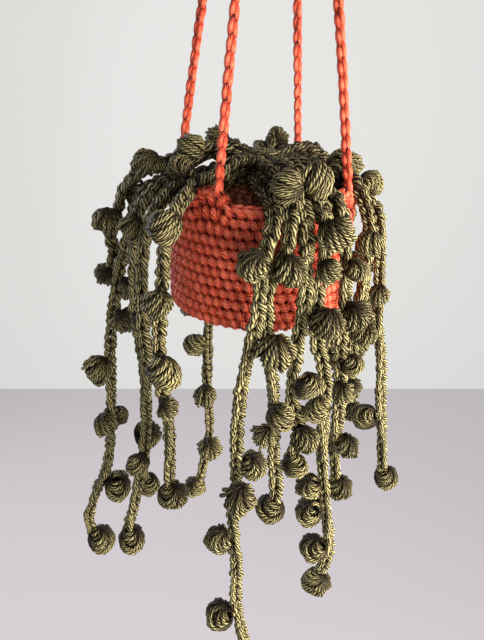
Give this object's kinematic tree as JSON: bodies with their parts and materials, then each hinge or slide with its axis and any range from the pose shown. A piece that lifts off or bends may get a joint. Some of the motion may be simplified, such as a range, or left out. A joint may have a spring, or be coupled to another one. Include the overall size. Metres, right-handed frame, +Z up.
{
  "type": "crocheted hanging potted plant",
  "caption": "Crocheted trailing bead plant in a round crocheted pot that hangs on cords from a knot and a loop.",
  "frame": {"origin": "the hang point: the inside top of the hanging loop, where it rests on a hook", "axes": "+Z up along the hanging direction, -Y towards the viewer of the reference view, +X to its right"},
  "size_m": [0.1889, 0.146, 0.5846],
  "materials": {
    "coral_yarn": "matte worsted yarn, single crochet and chain",
    "brown_yarn": "matte worsted yarn, single crochet",
    "olive_yarn": "soft worsted yarn with a slight sheen, chain and bobbles",
    "polyester_filling": "matte loose fibre"
  },
  "bodies": {
    "root": {"pot": "coral_yarn", "soil_cover": "brown_yarn", "stuffing": "polyester_filling", "cord_right": "coral_yarn", "cord_back": "coral_yarn", "cord_left": "coral_yarn", "cord_front": "coral_yarn", "knot": "coral_yarn", "hanging_loop": "coral_yarn", "strand_crown": "olive_yarn", "strand_left_short": "olive_yarn", "strand_left_long": "olive_yarn", "strand_left_inner": "olive_yarn", "strand_left_front": "olive_yarn", "strand_front_left": "olive_yarn", "strand_front_long": "olive_yarn", "strand_front_second": "olive_yarn", "strand_front_third": "olive_yarn", "strand_front_fourth": "olive_yarn", "strand_right_front": "olive_yarn", "strand_right_inner": "olive_yarn", "strand_right_long": "olive_yarn", "strand_right": "olive_yarn", "strand_right_back": "olive_yarn", "strand_back_short": "olive_yarn", "strand_back_long": "olive_yarn", "strand_back_left": "olive_yarn"}
  },
  "joints": []
}
